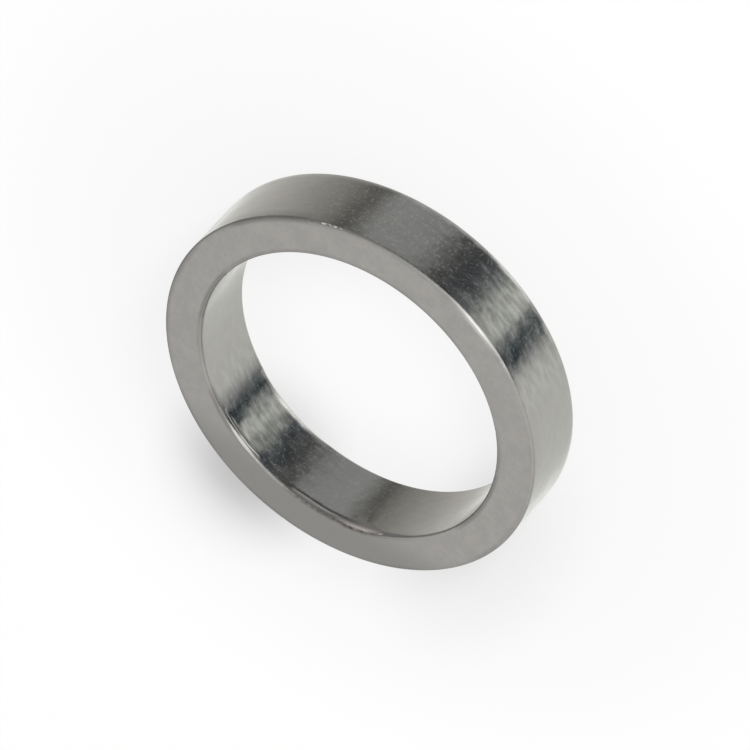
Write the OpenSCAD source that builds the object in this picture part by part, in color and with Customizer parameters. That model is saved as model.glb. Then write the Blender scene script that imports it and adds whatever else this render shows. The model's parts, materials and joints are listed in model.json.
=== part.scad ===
// Die-formed graphite ring: one pressed piece of rectangular section, small rounds
// on its four edges, and a crescent bevel on a short arc of the bore's upper edge.
// It rests on its lower end face. The origin is the centre of that face, +Z is the axis.

/* [Ring] */
// Outside diameter, across the outer wall
outer_d = 50; // [46:0.5:90]
// Bore diameter, across the inner wall
bore_d = 40; // [24:0.5:42]
// Height from end face to end face
height = 9.5; // [4:0.1:20]

/* [Edges] */
// Radius of the round that the die leaves on each of the four edges
edge_r = 0.3; // [0.1:0.05:0.6]

/* [Crescent bevel] */
// Width of the bevel at its middle, measured on the upper face
bevel_w = 0.35; // [0.25:0.05:0.6]
// Depth of the bevel at its middle, measured down the bore's wall
bevel_depth = 1.0; // [0.6:0.1:1.6]
// Depth at which the bevel turns steeper
break_depth = 0.5; // [0.3:0.1:0.5]
// Width that is left at that depth
break_w = 0.1; // [0.05:0.05:0.2]
// Half of the arc on which the bevel would run out of a sharp edge, in degrees
bevel_half_arc = 50; // [30:1:80]
// Direction of the bevel's middle, in degrees from +X
bevel_azimuth = 105; // [0:5:355]

/* [Hidden] */
$fn = 180;
outer_r = outer_d / 2;
bore_r = bore_d / 2;
graphite_grey = [0.61, 0.60, 0.58];

// The bevel is cut by two stacked cones, smaller than the bore and set off its axis.
// The offset is the one at which the upper cone's rim crosses the bore's rim at the
// ends of the arc and stands the bevel's width beyond it in the middle.
cone_offset = (bevel_w * bevel_w + 2 * bore_r * bevel_w)
    / (2 * (bore_r * (1 - cos(bevel_half_arc)) + bevel_w));
cone_rim_r = bore_r + bevel_w - cone_offset;
// The cones narrow downwards by this much for each millimetre
upper_slope = (bevel_w - break_w) / break_depth;
lower_slope = break_w / (bevel_depth - break_depth);
// They run on by half a millimetre below the bevel and above the upper face
over = 0.5;
break_r = cone_rim_r - upper_slope * break_depth;
foot_r = break_r - lower_slope * (bevel_depth + over - break_depth);
head_r = cone_rim_r + upper_slope * over;

// Half of the ring's section, in the plane of the axis, with its four rounds
module ring_section() {
    wall = outer_r - bore_r;
    translate([bore_r + edge_r, 0]) square([wall - 2 * edge_r, height]);
    translate([bore_r, edge_r]) square([wall, height - 2 * edge_r]);
    for (r = [bore_r + edge_r, outer_r - edge_r], z = [edge_r, height - edge_r])
        translate([r, z]) circle(r = edge_r, $fn = 48);
}

// The two stacked cones that take the bore's upper edge off on one side
module bevel_cutter() {
    rotate([0, 0, bevel_azimuth])
        translate([cone_offset, 0, height])
            rotate_extrude()
                polygon([[0, -bevel_depth - over], [foot_r, -bevel_depth - over],
                    [break_r, -break_depth], [head_r, over], [0, over]]);
}

// The whole ring
module graphite_ring() {
    color(graphite_grey)
        difference() {
            rotate_extrude() ring_section();
            bevel_cutter();
        }
}

graphite_ring();
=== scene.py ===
"""Looks of a die-formed graphite ring: matt pressed end faces, burnished walls, an uneven lip."""
import json
import math

import bmesh
import bpy
from mathutils import Matrix, Vector, noise


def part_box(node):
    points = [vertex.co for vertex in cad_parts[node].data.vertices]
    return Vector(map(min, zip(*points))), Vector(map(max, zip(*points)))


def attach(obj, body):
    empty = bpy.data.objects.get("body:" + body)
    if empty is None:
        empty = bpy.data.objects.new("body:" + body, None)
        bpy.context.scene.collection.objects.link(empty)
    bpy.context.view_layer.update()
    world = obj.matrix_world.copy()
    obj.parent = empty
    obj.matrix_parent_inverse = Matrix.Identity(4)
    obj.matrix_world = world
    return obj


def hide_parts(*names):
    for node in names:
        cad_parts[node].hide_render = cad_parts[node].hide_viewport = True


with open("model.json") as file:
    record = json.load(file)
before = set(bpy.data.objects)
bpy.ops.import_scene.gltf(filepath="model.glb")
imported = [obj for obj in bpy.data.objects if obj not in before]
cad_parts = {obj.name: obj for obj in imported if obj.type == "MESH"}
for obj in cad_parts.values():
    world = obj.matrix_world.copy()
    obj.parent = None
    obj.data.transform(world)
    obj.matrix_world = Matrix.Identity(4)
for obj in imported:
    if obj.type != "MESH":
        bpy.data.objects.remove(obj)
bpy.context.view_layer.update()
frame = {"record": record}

MM = 0.001


def arc_at(azimuth, half_arc):
    """An arc about the axis: its middle and half its width, given in degrees."""
    return math.radians(azimuth), math.radians(half_arc)


# Sizes of the ring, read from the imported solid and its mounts
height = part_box("graphite_ring")[1].z
mounts = {mount["name"]: mount for mount in frame["record"]["mounts"]}
outer_r = mounts["outer_wall"]["dims"]["r_mm"] * MM
bore_r = mounts["bore"]["dims"]["r_mm"] * MM
edge_r = (height - mounts["bore"]["dims"]["length_mm"] * MM) / 2
middle_r = (outer_r + bore_r) / 2

# Crescent bevel on the bore's upper edge, cut by two stacked cones as in the solid
bevel_w = 0.35 * MM
bevel_depth = 1.0 * MM
break_depth = 0.5 * MM
break_w = 0.1 * MM
bevel_azimuth, bevel_half_arc = arc_at(105, 50)
upper_slope = (bevel_w - break_w) / break_depth
lower_slope = break_w / (bevel_depth - break_depth)
cone_offset = (bevel_w ** 2 + 2 * bore_r * bevel_w) / (
    2 * (bore_r * (1 - math.cos(bevel_half_arc)) + bevel_w))
cone_rim_r = bore_r + bevel_w - cone_offset
press_steps = 8

# The pressed lip is uneven: pinched on one stretch of the bevel, wider on the next
pinch_arc = arc_at(98, 24)
pinch_w = 0.25 * MM
spread_arc = arc_at(125, 12)
spread_w = 0.15 * MM

# How far the lip is burnished: the middle value at x = 0, and 1 more over this run towards +X
lip_least_burnish = 0.35
lip_middle_burnish = 0.5
lip_most_burnish = 0.95
lip_burnish_run = 6 * MM

# Painted highlight: a glint on the lip's widest stretch, part of the way down the bevel
shine_arc = arc_at(124.5, 11)
shine_level = 0.25 * MM
shine_w = 0.27 * MM

# Only the vertices this near the bore's upper edge carry the punch's grooves
grooved_h = 1.3 * MM
grooved_w = 1.2 * MM

# Ragged groove that the punch left along the bevel on the face; waves are per metre
groove_arc = arc_at(114, 21)
groove_depth = 0.11 * MM
groove_w = 0.23 * MM
groove_gap = 0.04 * MM
groove_fade = 0.4 * MM
groove_wander = 0.07 * MM
groove_wander_waves = 1400
groove_level = 0.85
groove_swing = 0.7
groove_swing_waves = 2200

# Fine groove under the bevel, in the bore's wall
under_arcs = [arc_at(72, 11), arc_at(110, 14.5)]
under_level = 0.86 * MM
under_depth = 0.065 * MM
under_w = 0.21 * MM
under_start = 0.2 * MM
under_wander = 0.12 * MM
under_wander_waves = 500
# Share of the painted shade that the fine groove gets, against the ragged groove's
under_shade = 0.8

# Stretches of the two walls painted with pale and dark streaks, a painted streaky reflection of the bright
# window
painted_streaks_outside = arc_at(-107, 32)
painted_streaks_inside = arc_at(74, 32)
painted_streaks_least = 0.12

# Crumbled spots along the edges, most of them on one stretch of the outer upper edge
crumb_depth = 0.06 * MM
crumb_size = 0.55 * MM
crumb_length = 2.2
crumb_width = 1.6
crumb_shift = 17 * crumb_size
crumb_fineness = 2.7
crumb_fine_share = 0.5
crumb_rarity = 0.70
crumb_clusters = 0.4
crumb_cluster_waves = 110
crumb_steepness = 3
crumb_arc = arc_at(-52, 8)
crumb_arc_gain = 0.5
crumb_dullness = 0.8

# Short stretch of the outer upper edge that handling has rubbed flat and polished; the face beside it is
# painted paler, a painted highlight
rub_arc = arc_at(-103.5, 11)
rub_tilt = math.radians(45)
rub_depth = 0.035 * MM
polish_highlight_gain = 1.6

# Outer upper edge worn down to a shallow slope
slope_w = 0.80 * MM
slope_depth = 0.10 * MM

# Painted shade beside the rounds of both upper edges, in patches and on a few whole stretches
rim_w = 0.5 * MM
rim_level = 0.35
rim_swing = 0.6
rim_swing_waves = 160
rim_least = 0.1
rim_shade_arcs_outside = [arc_at(-34, 14)]
rim_shade_arcs_inside = [arc_at(60, 10), arc_at(8, 14), arc_at(184, 18)]
round_burnish = 0.5

# Walls worn back towards the lower edges: all round outside, more deeply on one stretch inside
worn_h = 1.15 * MM
worn_depth = 0.13 * MM
worn_arc = arc_at(79, 18)
worn_inside = 1.5
worn_fade = 0.8 * MM

# Rows of the mesh: how close they lie, and how far the close ones reach from each edge
round_segments = 8
quarter_steps = 225
support_gap = 0.05 * MM
fine_gap = 0.06 * MM
slope_gap = 0.12 * MM
worn_gap = 0.16 * MM
wide_gap = 1.3 * MM
bevel_face_rows = 0.8 * MM
bevel_wall_rows = 1.1 * MM
slope_rows = 0.6 * MM
plain_rows = 0.12 * MM

# Distances that count as the same place: when welding, on one line, on the bevel
weld = 0.001 * MM
on_line = 0.01 * MM
on_bevel = 0.002 * MM


def cuts_between(start, end, gap):
    """Even cuts inside a run, without its ends."""
    count = max(1, round((end - start) / gap))
    return [start + (end - start) * i / count for i in range(1, count)]


def radial_cuts(inner_w, outer_w):
    """Where the end faces are cut: a support row beside each round, close rows near both edges."""
    start = bore_r + edge_r + support_gap
    end = outer_r - edge_r - support_gap
    inner_end = start + inner_w
    outer_start = end - outer_w
    return ([start, end, inner_end, outer_start] + cuts_between(start, inner_end, fine_gap)
            + cuts_between(inner_end, outer_start, wide_gap)
            + cuts_between(outer_start, end, slope_gap))


def upright_cuts(upper_h):
    """Where the walls are cut: a support row beside each round, close rows near both edges."""
    start = edge_r + support_gap
    end = height - edge_r - support_gap
    upper_start = end - upper_h
    return ([start, end, worn_h, upper_start] + cuts_between(start, worn_h, worn_gap)
            + cuts_between(upper_start, end, fine_gap)
            + cuts_between(worn_h, upper_start, wide_gap))


def cut_run(bm, axis, line, along, places):
    """Cuts the straight run of the section at one x (axis 0) or z (axis 2), at places along it."""
    def on_run(vert):
        return abs(vert.co[axis] - line) < on_line

    for place in places:
        ends = [vert for vert in bm.verts if on_run(vert)]
        run = [edge for edge in bm.edges if all(on_run(vert) for vert in edge.verts)]
        bmesh.ops.bisect_plane(bm, geom=ends + run, plane_co=along * place, plane_no=along,
                               dist=weld)


def section(bm):
    """Half of the ring's section as a closed wire, with its four rounds and its rows."""
    corners = [(bore_r, 0), (outer_r, 0), (outer_r, height), (bore_r, height)]
    verts = [bm.verts.new((r, 0, z)) for r, z in corners]
    bm.faces.new(verts)
    bmesh.ops.bevel(bm, geom=verts, offset=edge_r, segments=round_segments, profile=0.5,
                    affect="VERTICES", material=-1)
    bmesh.ops.delete(bm, geom=bm.faces[:], context="FACES_ONLY")
    along_x = Vector((1, 0, 0))
    along_z = Vector((0, 0, 1))
    cut_run(bm, 2, height, along_x, radial_cuts(bevel_face_rows, slope_rows))
    cut_run(bm, 2, 0, along_x, radial_cuts(plain_rows, plain_rows))
    cut_run(bm, 0, bore_r, along_z, upright_cuts(bevel_wall_rows))
    cut_run(bm, 0, outer_r, along_z, upright_cuts(plain_rows))


def clamp(value):
    """A value held between 0 and 1."""
    return min(1, max(0, value))


def outward(vert):
    """The way straight out from the ring's axis at a vertex."""
    return Vector((vert.co.x, vert.co.y, 0)).normalized()


def angle_from(vert, azimuth):
    """Angle of a vertex about the axis, from a given azimuth, within half a turn."""
    turn = math.atan2(vert.co.y, vert.co.x) - azimuth
    return (turn + math.pi) % math.tau - math.pi


def arc_fade(vert, arc, power=4):
    """1 at the middle of an arc, and 0 from its ends on."""
    middle, half_arc = arc
    turn = abs(angle_from(vert, middle)) / half_arc
    return max(0, 1 - turn ** power)


def rub_edge(bm):
    """Rubs a flat on one stretch of the round between the outer wall and the upper face."""
    way = Vector((math.cos(rub_tilt), math.sin(rub_tilt)))
    for vert in bm.verts:
        beside = vert.co.xy.length - outer_r + edge_r
        above = vert.co.z - height + edge_r
        if beside < 0 or above < 0:
            continue
        depth = rub_depth * arc_fade(vert, rub_arc, 2)
        step = max(0, way.dot((beside, above)) - edge_r + depth)
        vert.co -= (outward(vert) * way.x + Vector((0, 0, way.y))) * step


def crumbs(vert):
    """How far a vertex's place has crumbled, if it is on a round."""
    radius = vert.co.xy.length
    along = math.atan2(vert.co.y, vert.co.x) * radius
    spot = Vector((along / crumb_length, radius / crumb_width,
                   vert.co.z / crumb_width + crumb_shift)) / crumb_size
    spots = noise.noise(spot) + crumb_fine_share * noise.noise(spot * crumb_fineness)
    bare = crumb_rarity - crumb_clusters * max(0, noise.noise(vert.co * crumb_cluster_waves))
    if radius > middle_r and vert.co.z > height / 2:
        bare -= crumb_arc_gain * arc_fade(vert, crumb_arc)
    return clamp((spots - bare) * crumb_steepness)


def crumble_edges(bm):
    """Crumbles small spots off the rounds, which is where pressed graphite wears first."""
    chip = bm.verts.layers.float.new("chip")
    half_w = (outer_r - bore_r) / 2 - edge_r
    for vert in bm.verts:
        radius = vert.co.xy.length
        beside = abs(radius - middle_r) - half_w
        above = abs(vert.co.z - height / 2) - height / 2 + edge_r
        if beside <= 0 or above <= 0:
            continue
        # The middle of a round crumbles most, and its two ends not at all
        share = crumbs(vert) * clamp(4 * beside * above / edge_r ** 2 - 1)
        vert[chip] = share
        inward = outward(vert) * (-1 if radius > middle_r else 1)
        inward.z = -1 if vert.co.z > height / 2 else 1
        vert.co += inward.normalized() * crumb_depth * share


def slope_share(vert):
    """0 where the worn slope of the outer upper edge begins, and 1 at the outer wall."""
    return max(0, 1 - (outer_r - vert.co.xy.length) / slope_w)


def wear_slope(bm):
    """Wears the outer upper edge down to its shallow slope, less and less down the wall."""
    for vert in bm.verts:
        fade = max(0, 1 - (height - vert.co.z) / slope_w)
        vert.co.z -= slope_depth * slope_share(vert) ** 2 * fade


def wear_walls(bm):
    """Wears both walls back towards the lower face, whose rows close up beside the rounds."""
    for vert in bm.verts:
        if vert.co.z > worn_h:
            continue
        radius = vert.co.xy.length
        share = -1 if radius > middle_r else worn_inside * arc_fade(vert, worn_arc)
        away = min(radius - bore_r, outer_r - radius) - edge_r
        share *= clamp(1 - away / worn_fade)
        vert.co += outward(vert) * share * worn_depth * (1 - vert.co.z / worn_h) ** 2


def lip_change(vert):
    """How much wider than the cone the uneven lip is, at a vertex's angle."""
    pinch = arc_fade(vert, pinch_arc) ** 2
    spread = arc_fade(vert, spread_arc, 2) ** 2
    return spread_w * spread - pinch_w * pinch


def bevel_reach(vert):
    """Width of the bevel on the upper face, at a vertex's angle."""
    turn = angle_from(vert, bevel_azimuth)
    half_chord = math.sqrt(cone_rim_r ** 2 - (cone_offset * math.sin(turn)) ** 2)
    return cone_offset * math.cos(turn) + half_chord - bore_r + lip_change(vert)


def inside_cone(vert):
    """How far a vertex stands inside the bevel, the way straight out from its middle, its slope."""
    below = height - vert.co.z
    cone_middle = Vector((math.cos(bevel_azimuth), math.sin(bevel_azimuth))) * cone_offset
    arm = vert.co.xy - cone_middle
    upper_run = min(below, break_depth)
    lower_run = max(0, below - break_depth)
    reach = cone_rim_r - upper_slope * upper_run - lower_slope * lower_run + lip_change(vert)
    slope = upper_slope if below < break_depth else lower_slope
    return reach - arm.length, arm.normalized(), slope


def cut_bevel(bm):
    """Presses what stands inside the bevel straight back to it, in a few small steps."""
    for vert in bm.verts:
        if vert.co.z < height / 2:
            continue
        inside, way, slope = inside_cone(vert)
        if inside <= 0:
            continue
        for _ in range(press_steps):
            vert.co += Vector((way.x, way.y, -slope)) * inside / (1 + slope ** 2)
            inside, way, slope = inside_cone(vert)


def face_groove(vert, below):
    """Share of the ragged groove's depth, at a vertex this far below the upper face."""
    on_arc = arc_fade(vert, groove_arc)
    if on_arc <= 0 or below >= groove_fade:
        return 0
    wander = noise.noise(vert.co * groove_wander_waves) * groove_wander
    from_bevel = vert.co.xy.length - bore_r - bevel_reach(vert)
    across = (from_bevel - groove_gap - wander) / groove_w
    rough = groove_level + groove_swing * noise.noise(vert.co * groove_swing_waves)
    return on_arc * max(0, rough) * math.exp(-across ** 2) * (1 - below / groove_fade)


def wall_groove(vert, below):
    """Share of the fine groove's depth, at a vertex this far below the upper face."""
    on_arc = max(arc_fade(vert, arc) for arc in under_arcs)
    if on_arc <= 0 or below <= under_start:
        return 0
    wander = noise.noise(vert.co * under_wander_waves) * under_wander
    across = (below - under_level - wander) / under_w
    return on_arc * math.exp(-across ** 2)


def press_grooves(bm):
    """Presses the ragged groove into the upper face and the fine one into the bore's wall, with painted
    shade in both.
    """
    groove_shade = bm.verts.layers.float.new("groove_shade")
    for vert in bm.verts:
        below = height - vert.co.z
        if below > grooved_h or vert.co.xy.length > bore_r + grooved_w:
            continue
        on_face = face_groove(vert, below)
        vert.co.z -= groove_depth * on_face
        on_wall = wall_groove(vert, below)
        vert.co += outward(vert) * under_depth * on_wall
        vert[groove_shade] = max(on_face, under_shade * on_wall)


def rim_share(vert):
    """How dark the painted shade beside the upper rounds is, fading out away from them."""
    radius = vert.co.xy.length
    outside = radius > middle_r
    away = max(min(radius - bore_r, outer_r - radius), height - vert.co.z) - edge_r
    share = clamp(1 - away / rim_w)
    shade_arcs = rim_shade_arcs_outside if outside else rim_shade_arcs_inside
    patchy = rim_level + rim_swing * noise.noise(vert.co * rim_swing_waves)
    patchy += max(arc_fade(vert, shade_arc) for shade_arc in shade_arcs)
    # The painted shade thins out on the outer round itself, most at its middle
    if outside:
        patchy *= min(1, 1 + away / edge_r)
    return share ** 2 * (3 - 2 * share) * min(1, max(rim_least, patchy))


def polish_highlight_share(vert):
    """How far handling has polished the face beside the rubbed stretch of the outer edge, which is also how
    far it is painted paler, as a painted highlight.
    """
    if vert.co.z <= height - edge_r:
        return 0
    on_round = max(0, vert.co.xy.length - outer_r + edge_r) / edge_r
    share = min(1, polish_highlight_gain * slope_share(vert)) * (1 - on_round)
    return share * arc_fade(vert, rub_arc, 2) ** 2


def shine_share(vert):
    """How bright the painted glint is, at a vertex of the lip."""
    across = (height - vert.co.z - shine_level) / shine_w
    return arc_fade(vert, shine_arc, 2) ** 2 * math.exp(-across ** 2)


def burnish_share(vert, polish_highlighted, chipped):
    """How far a vertex off the lip is burnished: 1 on the walls, 0 on the plain faces."""
    if chipped > 0:
        return 1 - crumb_dullness * chipped
    if bore_r + edge_r < vert.co.xy.length < outer_r - edge_r:
        return polish_highlighted
    if vert.co.z > height - edge_r:
        return round_burnish + (1 - round_burnish) * polish_highlighted
    return 0 if vert.co.z < weld else 1


def mark_surface(bm):
    """Writes on each vertex what the material reads: the burnish, and each mark's share."""
    layers = bm.verts.layers.float
    burnish, lip, shine, painted_streaks, rim, polish_highlight = [
        layers.new(name) for name in ("burnish", "lip", "shine", "painted_streaks", "rim", "polish_highlight")]
    chip = layers["chip"]
    for vert in bm.verts:
        stretch = painted_streaks_outside if vert.co.xy.length > middle_r else painted_streaks_inside
        vert[painted_streaks] = painted_streaks_least + (1 - painted_streaks_least) * arc_fade(vert, stretch, 2) ** 2
        vert[polish_highlight] = polish_highlight_share(vert)
        vert[rim] = rim_share(vert) * (1 - vert[polish_highlight])
        if vert.co.z > height / 2 and abs(inside_cone(vert)[0]) < on_bevel:
            level = lip_middle_burnish + vert.co.x / lip_burnish_run
            vert[burnish] = min(lip_most_burnish, max(lip_least_burnish, level))
            vert[lip] = 1
            vert[shine] = shine_share(vert)
        else:
            vert[burnish] = burnish_share(vert, vert[polish_highlight], vert[chip])


def ring_piece():
    """The whole ring: its section spun round, then worn, bevelled, marked and grooved."""
    bm = bmesh.new()
    section(bm)
    bmesh.ops.spin(bm, geom=bm.verts[:] + bm.edges[:], cent=(0, 0, 0), axis=(0, 0, 1),
                   angle=math.pi / 2, steps=quarter_steps)
    for axis in "XY":
        bmesh.ops.mirror(bm, geom=bm.verts[:] + bm.edges[:] + bm.faces[:], axis=axis,
                         merge_dist=weld)
    bmesh.ops.remove_doubles(bm, verts=bm.verts, dist=weld)
    for work in (rub_edge, crumble_edges, wear_slope, wear_walls, cut_bevel, mark_surface,
                 press_grooves):
        work(bm)
    bmesh.ops.recalc_face_normals(bm, faces=bm.faces)
    for face in bm.faces:
        face.smooth = True
    mesh = bpy.data.meshes.new("pressed_ring")
    bm.to_mesh(mesh)
    bm.free()
    ring = bpy.data.objects.new("pressed_ring", mesh)
    bpy.context.scene.collection.objects.link(ring)
    return ring


def feed(tree, socket, value):
    """Links an output to a socket, or writes a plain value on it."""
    if isinstance(value, bpy.types.NodeSocket):
        tree.links.new(value, socket)
    else:
        socket.default_value = value


def calc(tree, operation, *values):
    """One sum on numbers."""
    node = tree.nodes.new("ShaderNodeMath")
    node.operation = operation
    for socket, value in zip(node.inputs, values):
        feed(tree, socket, value)
    return node.outputs[0]


def product(tree, first, *others):
    """Several numbers multiplied together."""
    for other in others:
        first = calc(tree, "MULTIPLY", first, other)
    return first


def ease(tree, value, start, end, low_value=0.0, high_value=1.0):
    """Smooth step of a value, from the low value at start to the high value at end."""
    node = tree.nodes.new("ShaderNodeMapRange")
    node.interpolation_type = "SMOOTHSTEP"
    for name, number in (("Value", value), ("From Min", start), ("From Max", end),
                         ("To Min", low_value), ("To Max", high_value)):
        feed(tree, node.inputs[name], number)
    return node.outputs["Result"]


def blend(tree, share, first, second, kind="FLOAT"):
    """Mixes two numbers or two colours."""
    node = tree.nodes.new("ShaderNodeMix")
    node.data_type = kind
    sockets = [socket for socket in node.inputs if socket.enabled]
    for socket, value in zip(sockets, (share, first, second)):
        feed(tree, socket, value)
    return [socket for socket in node.outputs if socket.enabled][0]


def along_axes(tree, place):
    """The x, y and z of a place."""
    node = tree.nodes.new("ShaderNodeSeparateXYZ")
    tree.links.new(place, node.inputs[0])
    return node.outputs


def stretched(tree, place, scale):
    """A place with its own scale on each axis."""
    node = tree.nodes.new("ShaderNodeMapping")
    node.inputs["Scale"].default_value = scale
    tree.links.new(place, node.inputs["Vector"])
    return node.outputs["Vector"]


def distance(tree, place, centre, scale=(1, 1, 1)):
    """Distance from a centre, measured with its own scale on each axis."""
    arm = tree.nodes.new("ShaderNodeVectorMath")
    arm.operation = "SUBTRACT"
    tree.links.new(place, arm.inputs[0])
    arm.inputs[1].default_value = centre
    length = tree.nodes.new("ShaderNodeVectorMath")
    length.operation = "LENGTH"
    tree.links.new(stretched(tree, arm.outputs["Vector"], scale), length.inputs[0])
    return length.outputs["Value"]


def clouds(tree, place, waves, detail):
    """Noise between 0 and 1 with the given number of waves per metre."""
    node = tree.nodes.new("ShaderNodeTexNoise")
    node.inputs["Scale"].default_value = waves
    node.inputs["Detail"].default_value = detail
    tree.links.new(place, node.inputs["Vector"])
    return node.outputs["Fac"]


def painted(tree, name):
    """The share that the mesh carries under a name."""
    node = tree.nodes.new("ShaderNodeAttribute")
    node.attribute_name = name
    return node.outputs["Fac"]


def relief(tree, level, depth, under=None):
    """Relief of a given depth in metres, laid over another one."""
    node = tree.nodes.new("ShaderNodeBump")
    feed(tree, node.inputs["Height"], level)
    feed(tree, node.inputs["Distance"], depth)
    if under is not None:
        tree.links.new(under, node.inputs["Normal"])
    return node.outputs["Normal"]


def seen_rays(tree):
    """1 for camera, glossy and transmission rays, 0 for the rays that light things softly."""
    path = tree.nodes.new("ShaderNodeLightPath")
    seen = calc(tree, "MAXIMUM", path.outputs["Is Camera Ray"], path.outputs["Is Glossy Ray"])
    return calc(tree, "MAXIMUM", seen, path.outputs["Is Transmission Ray"])


def new_material(name):
    """A new material, its node tree and its shader."""
    material = bpy.data.materials.new(name)
    material.use_nodes = True
    tree = material.node_tree
    return material, tree, tree.nodes["Principled BSDF"]


# Colours of the graphite
BURNISHED = (0.385, 0.378, 0.36, 1)
# Pale and dark streaks of painted streaky reflection on the walls
STREAK_HIGHLIGHT = (0.44, 0.438, 0.42, 1)
STREAK_SHADE = (0.325, 0.322, 0.305, 1)
PRESSED = (0.442, 0.427, 0.404, 1)
PRESSED_DARK = (0.406, 0.392, 0.371, 1)
LIP_SIDE = (0.323, 0.311, 0.293, 1)
# Painted shade along the upper edges
RIM_SHADE = (0.22, 0.214, 0.204, 1)
# Painted highlight beside the rubbed stretch of the outer edge
RUBBED_HIGHLIGHT = (0.62, 0.61, 0.59, 1)
LIP = (0.29, 0.285, 0.272, 1)
# Painted highlight on the lip
LIP_SHINE = (0.90, 0.80, 0.77, 1)
# Painted shade in the grooves
RECESS_SHADE = (0.10, 0.096, 0.09, 1)
CHIPPED = (0.66, 0.64, 0.59, 1)

# Marks laid over the plain colours, one on another: the share's name on the mesh, strength, colour
MARKS = [("rim", 0.75, RIM_SHADE), ("polish_highlight", 1, RUBBED_HIGHLIGHT), ("lip", 1, LIP), ("shine", 1, LIP_SHINE),
         ("groove_shade", 1, RECESS_SHADE), ("chip", 1, CHIPPED)]

# Patterns in the graphite: waves per metre, and detail
SCORES = (540, 0.7)
DENTS = (1300, 0.6)
SWELL = (330, 1.0)
SPECKS = (2800, 0.3)
GRAIN = (7000, 3.0)
MOTTLE = (420, 3.0)
BLOTS = (1500, 1.0)
score_squash = (1, 1, 2.8)
blot_share = 0.35

# Between which of its values each pattern, and the burnish, passes from one look to the other
full_range = (0.3, 0.7)
score_range = (0.34, 0.66)
blot_range = (0.38, 0.62)
speck_range = (0.56, 0.70)
burnish_range = (0.05, 0.95)

# Depths of the relief
swell_depth = 0.11 * MM
dent_depth = 0.014 * MM
score_depth = 0.03 * MM
grain_depth = 0.010 * MM

# The walls' relief is quieter at the ring's two sides: from and to these shares of X in the radius
side_range = (0.37, 0.57)
side_relief = 0.15

# Finish of the walls, the faces and the crumbled spots
wall_roughness = (0.16, 0.24)
face_roughness = (0.5, 0.62)
face_metal = 0.6
chip_metal = 0.2
speck_dullness = 0.13

# The face is darker on the lip's side, from one distance towards it to the other
lip_side_range = (15 * MM, 22 * MM)
lip_side_wander = 2 * MM


def face_colour(tree, place, mottle):
    """Matt pressed grey with soft blots, darker on the lip's side."""
    x, y, _ = along_axes(tree, place)
    blots = blend(tree, blot_share, mottle, clouds(tree, place, *BLOTS))
    plain = blend(tree, ease(tree, blots, *blot_range), PRESSED_DARK, PRESSED, "RGBA")
    to_lip = calc(tree, "ADD", calc(tree, "MULTIPLY", x, math.cos(bevel_azimuth)),
                  calc(tree, "MULTIPLY", y, math.sin(bevel_azimuth)))
    to_lip = calc(tree, "ADD", to_lip, calc(tree, "MULTIPLY", mottle, lip_side_wander))
    return blend(tree, ease(tree, to_lip, *lip_side_range), plain, LIP_SIDE, "RGBA")


def wall_colour(tree, scores):
    """Burnished grey, with pale and dark streaks painted in as streaky reflection, most on two stretches of
    the walls.
    """
    streaks = blend(tree, ease(tree, scores, *score_range), STREAK_HIGHLIGHT, STREAK_SHADE, "RGBA")
    return blend(tree, painted(tree, "painted_streaks"), BURNISHED, streaks, "RGBA")


def wall_relief_share(tree, place, burnish):
    """How strong the walls' relief is: quieter at the two sides, and none on the lip."""
    from_axis = distance(tree, place, (0, 0, 0), (1, 1, 0))
    aside = calc(tree, "DIVIDE", calc(tree, "ABSOLUTE", along_axes(tree, place)[0]), from_axis)
    quiet = ease(tree, aside, *side_range, 1.0, side_relief)
    return product(tree, burnish, quiet, calc(tree, "SUBTRACT", 1.0, painted(tree, "lip")))


def graphite():
    """Pressed graphite: burnished to a grey metallic shine where it slid along the die."""
    material, tree, shader = new_material("graphite")
    place = tree.nodes.new("ShaderNodeTexCoord").outputs["Object"]
    burnish = ease(tree, painted(tree, "burnish"), *burnish_range)
    plainness = calc(tree, "SUBTRACT", 1.0, burnish)

    # Patterns of the walls, then of the faces
    scores = clouds(tree, stretched(tree, place, score_squash), *SCORES)
    dents = clouds(tree, place, *DENTS)
    swell = clouds(tree, place, *SWELL)
    specks = ease(tree, clouds(tree, place, *SPECKS), *speck_range)
    grain = clouds(tree, place, *GRAIN)
    mottle = clouds(tree, place, *MOTTLE)

    colour = blend(tree, burnish, face_colour(tree, place, mottle), wall_colour(tree, scores), "RGBA")
    for name, strength, paint in MARKS:
        colour = blend(tree, product(tree, painted(tree, name), strength), colour, paint, "RGBA")
    tree.links.new(colour, shader.inputs["Base Color"])

    wall_rough = ease(tree, swell, *full_range, *wall_roughness)
    face_rough = ease(tree, grain, *full_range, *face_roughness)
    tree.links.new(blend(tree, burnish, face_rough, wall_rough), shader.inputs["Roughness"])

    wall_metal = calc(tree, "SUBTRACT", 1.0, calc(tree, "MULTIPLY", specks, speck_dullness))
    metal = blend(tree, burnish, face_metal, wall_metal)
    metal = blend(tree, painted(tree, "chip"), metal, chip_metal)
    tree.links.new(metal, shader.inputs["Metallic"])

    wall_share = wall_relief_share(tree, place, burnish)
    bumps = None
    for level, share, depth in ((swell, wall_share, swell_depth), (dents, wall_share, dent_depth),
                                (scores, wall_share, score_depth), (grain, plainness, grain_depth)):
        bumps = relief(tree, level, calc(tree, "MULTIPLY", share, depth), bumps)
    tree.links.new(bumps, shader.inputs["Normal"])
    return material


# Floor's glow: in the middle of the ring, raised as painted light over the ring's shadow; near it; far away;
# and in two soft patches beside it, lowered as painted shade, the first over the lamp's shadow
floor_side = 4
hole_glow = 0.89
near_glow = 0.80
far_glow = 0.985
hole_range = (5 * MM, 19 * MM)
far_range = (35 * MM, 65 * MM)
shade_glow = 0.04
shade_centre = (3.3 * MM, 33 * MM, 0)
shade_scale = (1, 0.6, 1)
shade_range = (0.5 * MM, 14 * MM)
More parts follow.
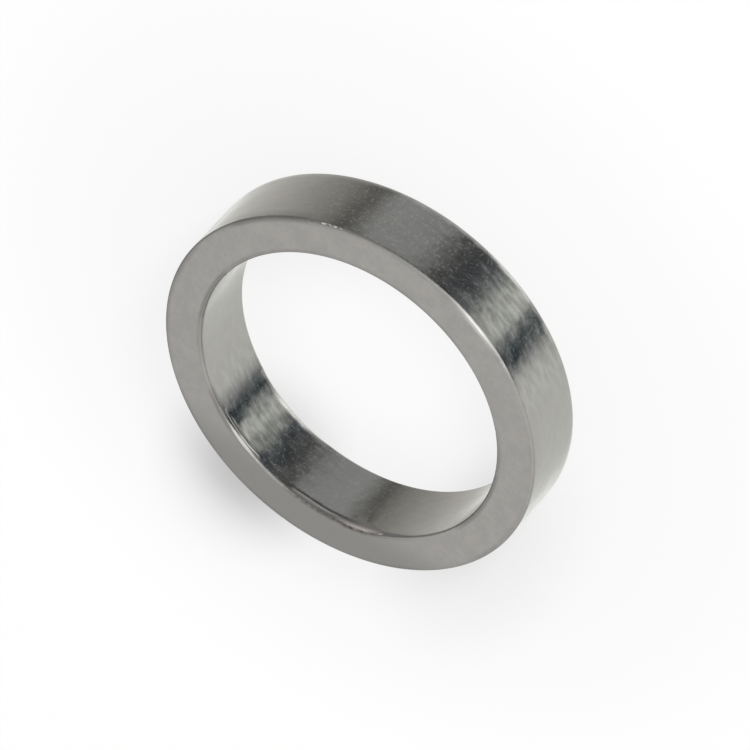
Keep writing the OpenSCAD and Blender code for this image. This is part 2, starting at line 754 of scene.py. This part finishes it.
# Second soft patch: painted shade beside the ring
faint_shade_glow = 0.50
faint_shade_centre = (-25 * MM, 17 * MM, 0)
faint_shade_scale = (1, 0.45, 1)
faint_shade_range = (1 * MM, 13 * MM)


def floor_glow(tree, place):
    """Share of the glow in the floor's white: full far away, raised in the ring's hole as painted light, and
    lowered in the shade by the ring as painted shade.
    """
    to_shade = distance(tree, place, shade_centre, shade_scale)
    to_faint_shade = distance(tree, place, faint_shade_centre, faint_shade_scale)
    from_middle = distance(tree, place, (0, 0, 0))
    share = ease(tree, to_shade, *shade_range, shade_glow, near_glow)
    share = ease(tree, to_faint_shade, *faint_shade_range, faint_shade_glow, share)
    share = ease(tree, from_middle, *hole_range, hole_glow, share)
    return ease(tree, from_middle, *far_range, share, far_glow)


def floor():
    """Plain white floor, lit by the lamp and the studio, and lifted towards white by its glow."""
    bpy.ops.mesh.primitive_plane_add(size=floor_side)
    plane = bpy.context.object
    plane.name = "floor"
    material, tree, shader = new_material("white_floor")
    nodes, links = tree.nodes, tree.links
    nodes.remove(shader)
    diffuse = nodes.new("ShaderNodeBsdfDiffuse")
    diffuse.inputs["Color"].default_value = (1, 1, 1, 1)
    glow = nodes.new("ShaderNodeEmission")
    lift = nodes.new("ShaderNodeMixShader")
    share = floor_glow(tree, nodes.new("ShaderNodeTexCoord").outputs["Object"])
    links.new(calc(tree, "MULTIPLY", seen_rays(tree), share), lift.inputs[0])
    links.new(diffuse.outputs[0], lift.inputs[1])
    links.new(glow.outputs[0], lift.inputs[2])
    links.new(lift.outputs[0], nodes["Material Output"].inputs["Surface"])
    plane.data.materials.append(material)
    # The walls mirror the studio's low cards instead of the floor
    plane.visible_glossy = False


# Tints of the studio's cards
COOL = (0.86, 1.0, 1.14)
EVEN = (0.98, 1.0, 1.01)
SOFT = (0.99, 1.0, 0.965)
WARM = (1.02, 1.0, 0.95)
OLIVE = (0.97, 1.0, 0.95)
DEEP = (0.2, 1.0, 1.6)

# Cards low around the ring: azimuth in degrees from the camera's side towards +X, level, tint
CARDS = [
    (-180, 1.12, SOFT), (-156, 1.12, SOFT), (-146, 0.99, SOFT), (-132, 0.95, SOFT), (-68, 1.03, SOFT),
    (-61, 0.60, EVEN), (-55, 0.03, DEEP), (-44, 0.03, DEEP), (-38, 1.07, OLIVE), (-32, 0.96, OLIVE),
    (-24, 0.60, OLIVE), (-16, 0.14, COOL), (-6, 0.075, COOL), (6, 0.105, EVEN), (20, 0.45, EVEN),
    (50, 0.54, EVEN), (56, 0.44, EVEN), (62, 0.20, WARM), (69, 0.16, WARM), (76, 0.375, WARM),
    (106, 0.66, WARM), (135, 0.84, WARM), (156, 1.03, SOFT), (170, 1.16, SOFT), (180, 1.16, SOFT)]

# Darker strip of the room above them, up to the skyline
ROOM = [
    (-180, 0.42, EVEN), (-160, 0.40, EVEN), (-130, 0.58, EVEN), (-90, 0.78, EVEN), (-60, 0.75, EVEN),
    (-52, 0.12, COOL), (8, 0.10, COOL), (24, 0.21, EVEN), (60, 0.26, EVEN), (84, 0.32, EVEN),
    (110, 0.36, EVEN), (150, 0.34, EVEN), (180, 0.34, EVEN)]

# The cards end upwards, and the floor's reflection ends, between these elevations in degrees
cards_top = (-28, -22)
floor_top = (-48, -60)
floor_level = 0.9
floor_under_window = 2.0

# The skyline leans up towards the front right of the studio; above it is the pale ceiling
skyline_side = (0.64, 0.77)
skyline_lean = 0.33
skyline_range = (0.35, 0.65)
ceiling_level = 0.95

# Bright window: azimuths of its left and right sides, elevations of its foot and head
window_left = (-51, -42)
window_right = (-5, -14)
window_foot = (-22, -9)
window_head = (75, 55)
window_level = 2.3

# Grey flag on the ring's +X side, which takes the ceiling's shine off the walls there
flag_left = (30, 50)
flag_right = (140, 115)
flag_foot = (0, 15)
flag_head = (80, 66)
flag_level = 0.3

# Light that soft rays find in every direction
plain_light = 0.54


def grey(level):
    """A neutral colour."""
    return (level, level, level, 1)


def ring_of_cards(tree, azimuth, cards):
    """Colour by azimuth, from a list of cards."""
    ramp = tree.nodes.new("ShaderNodeValToRGB")
    stops = ramp.color_ramp.elements
    while len(stops) < len(cards):
        stops.new(0.5)
    for stop, (degrees, level, tint) in zip(stops, cards):
        stop.position = (degrees + 180) / 360
        stop.color = [level * part for part in tint] + [1]
    along = calc(tree, "DIVIDE", calc(tree, "ADD", azimuth, 180.0), 360.0)
    tree.links.new(along, ramp.inputs["Fac"])
    return ramp.outputs["Color"]


def studio_colour(tree, place):
    """What stands around the ring in each direction, as its walls reflect it."""
    x, y, z = along_axes(tree, place)
    front = calc(tree, "MULTIPLY", y, -1.0)
    azimuth = calc(tree, "DEGREES", calc(tree, "ARCTAN2", x, front))
    elevation = calc(tree, "DEGREES", calc(tree, "ARCSINE", z))

    to_right, to_front = skyline_side
    towards = calc(tree, "ADD", calc(tree, "MULTIPLY", x, to_right), calc(tree, "MULTIPLY", front, to_front))
    over = calc(tree, "SUBTRACT", z, calc(tree, "MULTIPLY", towards, skyline_lean))
    room = blend(tree, ease(tree, over, *skyline_range), ring_of_cards(tree, azimuth, ROOM),
                 grey(ceiling_level), "RGBA")

    window_side = product(tree, ease(tree, azimuth, *window_left), ease(tree, azimuth, *window_right))
    window = product(tree, window_side, ease(tree, elevation, *window_foot),
                     ease(tree, elevation, *window_head))
    room = blend(tree, window, room, grey(window_level), "RGBA")
    flag = product(tree, ease(tree, azimuth, *flag_left), ease(tree, azimuth, *flag_right),
                   ease(tree, elevation, *flag_head), ease(tree, elevation, *flag_foot))
    room = blend(tree, flag, room, grey(flag_level), "RGBA")

    cards = blend(tree, ease(tree, elevation, *cards_top), ring_of_cards(tree, azimuth, CARDS),
                  room, "RGBA")
    below = blend(tree, window_side, grey(floor_level), grey(floor_under_window), "RGBA")
    return blend(tree, ease(tree, elevation, *floor_top), cards, below, "RGBA")


def surroundings():
    """White studio with dark cards and a bright window, which only reflections show."""
    world = bpy.data.worlds.new("studio")
    bpy.context.scene.world = world
    world.use_nodes = True
    # The pattern is only for reflections, so the studio isn't sampled as a lamp
    world.cycles.sampling_method = "NONE"
    tree = world.node_tree
    tree.nodes.clear()
    studio = studio_colour(tree, tree.nodes.new("ShaderNodeTexCoord").outputs["Generated"])
    path = tree.nodes.new("ShaderNodeLightPath")
    shown = blend(tree, path.outputs["Is Glossy Ray"], grey(1.0), studio, "RGBA")
    background = tree.nodes.new("ShaderNodeBackground")
    tree.links.new(shown, background.inputs["Color"])
    strength = blend(tree, seen_rays(tree), plain_light, 1.0)
    tree.links.new(strength, background.inputs["Strength"])
    out = tree.nodes.new("ShaderNodeOutputWorld")
    tree.links.new(background.outputs[0], out.inputs["Surface"])


# Key lamp: its place as seen from the ring, its width in metres and its power in watts
key_azimuth = math.radians(-4)
key_elevation = math.radians(28.5)
key_distance = 0.8
key_width = 0.22
key_power = 3.2


def key_lamp():
    """Soft lamp beyond the upper right of the picture, for the shadow at its lower left."""
    lamp = bpy.data.lights.new("key", "AREA")
    lamp.shape = "DISK"
    lamp.size = key_width
    lamp.energy = key_power
    key = bpy.data.objects.new("key", lamp)
    bpy.context.scene.collection.objects.link(key)
    way = Vector((math.sin(key_azimuth) * math.cos(key_elevation),
                  -math.cos(key_azimuth) * math.cos(key_elevation), math.sin(key_elevation)))
    key.location = way * key_distance
    key.rotation_euler = way.to_track_quat("Z", "Y").to_euler()
    key.visible_camera = False
    key.visible_glossy = False


# Camera, fitted to the ring's edges in the photo
image_side = 750
lens_mm = 432
sensor_mm = 36
clip_near = 0.01
clip_far = 20
camera_distance = 1.048
camera_elevation = math.radians(40.64)
axis_in_image = math.radians(132.20)  # where +Z points, clockwise from the picture's right
face_centre_px = (347.5, 396.2)  # where the middle of the upper face lies in the picture


def camera():
    """Long lens on the camera's side of the ring, rolled as the picture is."""
    lens = bpy.data.cameras.new("camera")
    lens.lens = lens_mm
    lens.sensor_width = sensor_mm
    lens.clip_start = clip_near
    lens.clip_end = clip_far
    eye = bpy.data.objects.new("camera", lens)
    bpy.context.scene.collection.objects.link(eye)
    back = Vector((0, -math.cos(camera_elevation), math.sin(camera_elevation)))
    level = Vector((1, 0, 0))
    up = back.cross(level)
    turn = math.pi / 2 + axis_in_image
    right = level * math.cos(turn) + up * math.sin(turn)
    top = up * math.cos(turn) - level * math.sin(turn)
    pixel = camera_distance * sensor_mm / lens_mm / image_side
    shift_x = (image_side / 2 - face_centre_px[0]) * pixel
    shift_y = (image_side / 2 - face_centre_px[1]) * pixel
    aim = Vector((0, 0, height)) + right * shift_x - top * shift_y
    stand = Matrix((right, top, back)).transposed().to_4x4()
    stand.translation = aim + back * camera_distance
    eye.matrix_world = stand
    bpy.context.scene.camera = eye


camera()
surroundings()
key_lamp()
floor()
ring = ring_piece()
ring.data.materials.append(graphite())
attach(ring, "root")
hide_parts("graphite_ring")

bpy.context.scene.view_settings.view_transform = "Standard"
